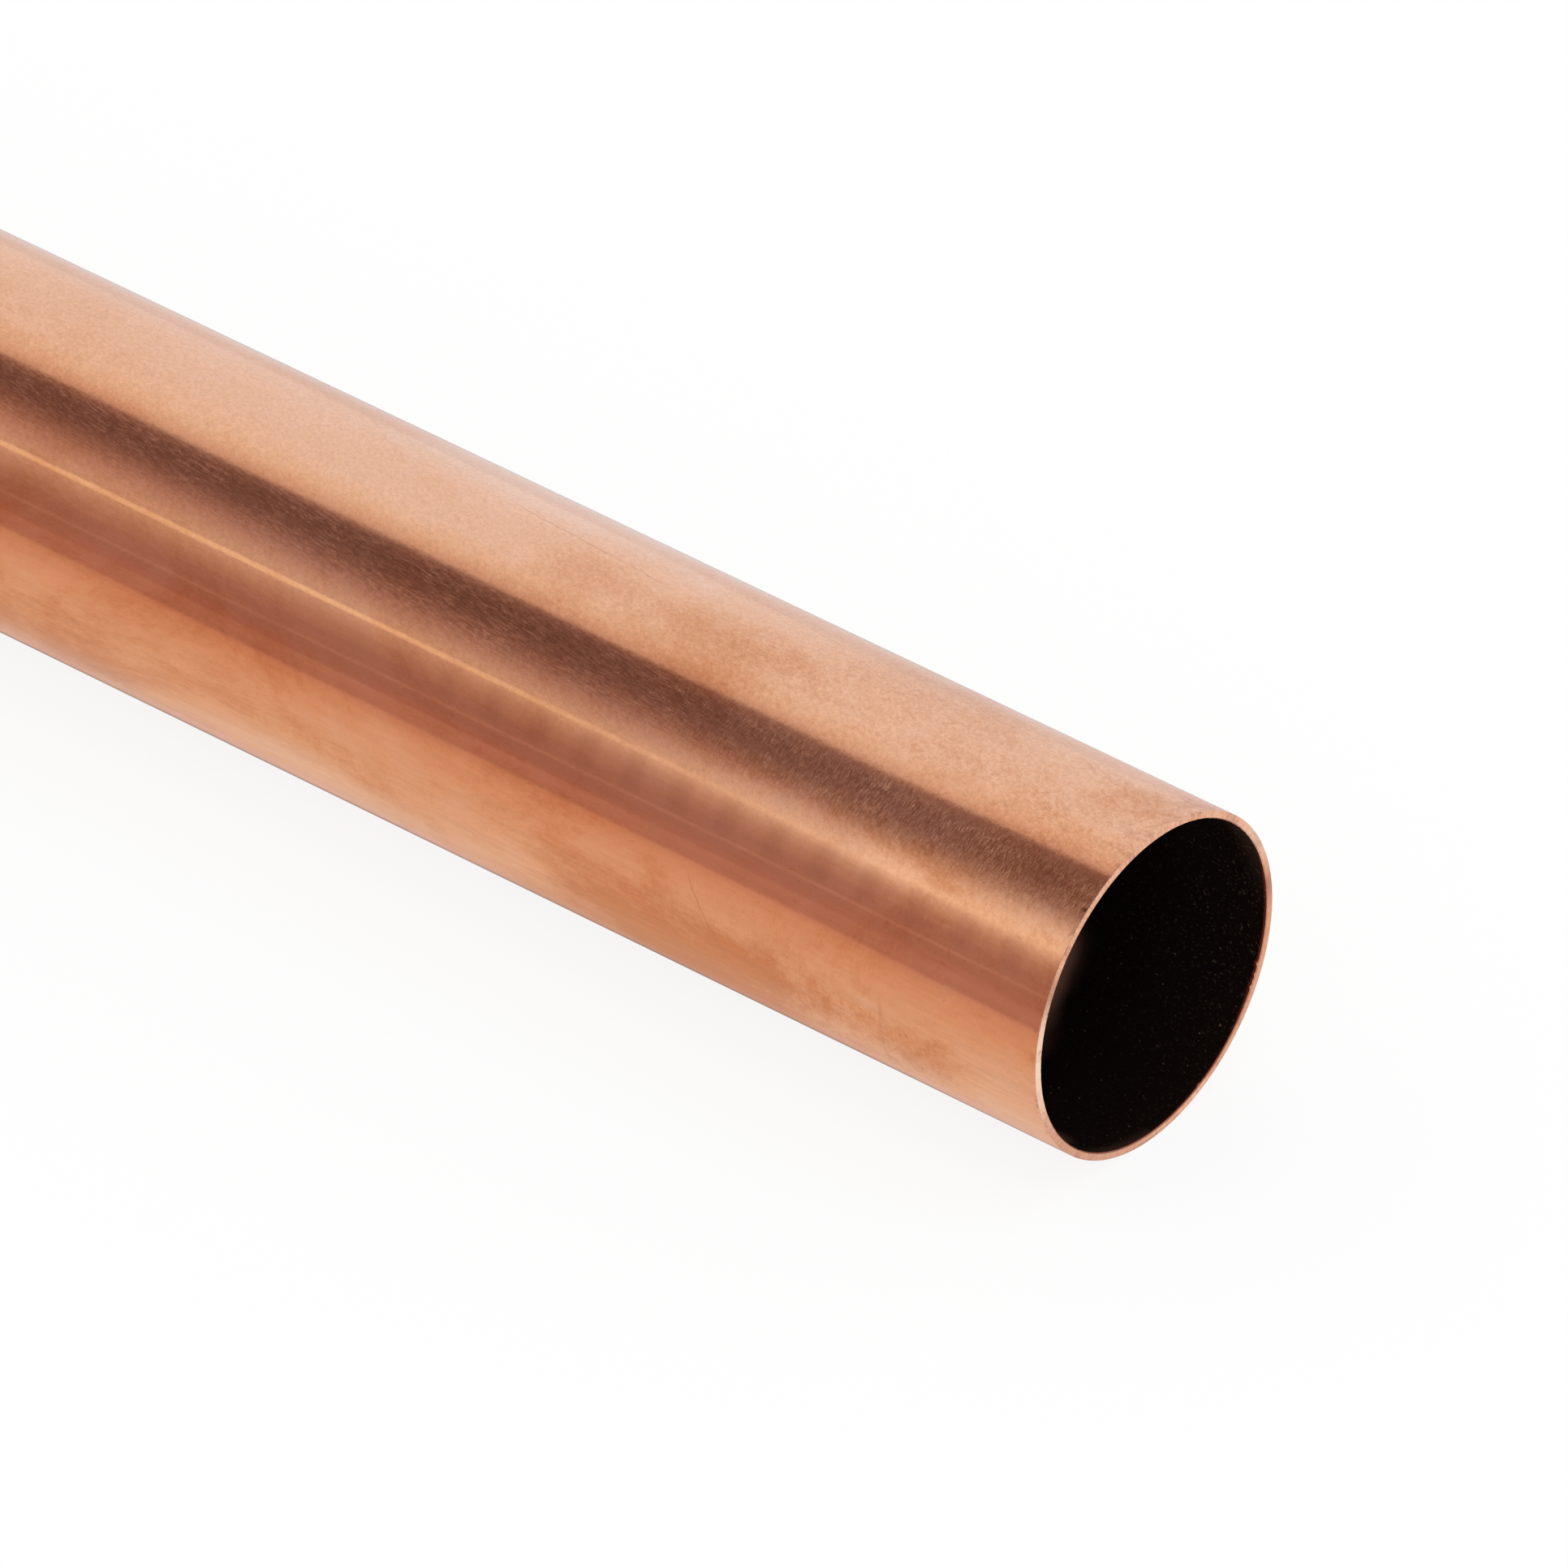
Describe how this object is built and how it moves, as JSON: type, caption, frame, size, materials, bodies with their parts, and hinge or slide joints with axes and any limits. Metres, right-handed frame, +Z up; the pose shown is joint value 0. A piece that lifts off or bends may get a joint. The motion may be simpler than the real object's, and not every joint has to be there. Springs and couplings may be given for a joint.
{
  "type": "copper pipe length",
  "caption": "Straight length of plain round copper water pipe with open, square-sawn and deburred ends, for capillary or compression fittings.",
  "frame": {"origin": "on the floor under the middle of the pipe, at the centre of the bounding box's lowest face", "axes": "+X along the pipe towards the end that the picture shows, +Z up from the floor that the pipe lies on, +Y sideways"},
  "size_m": [1, 0.0538, 0.054],
  "materials": {
    "copper": "satin"
  },
  "bodies": {
    "root": {"copper_tube": "copper"}
  },
  "joints": []
}
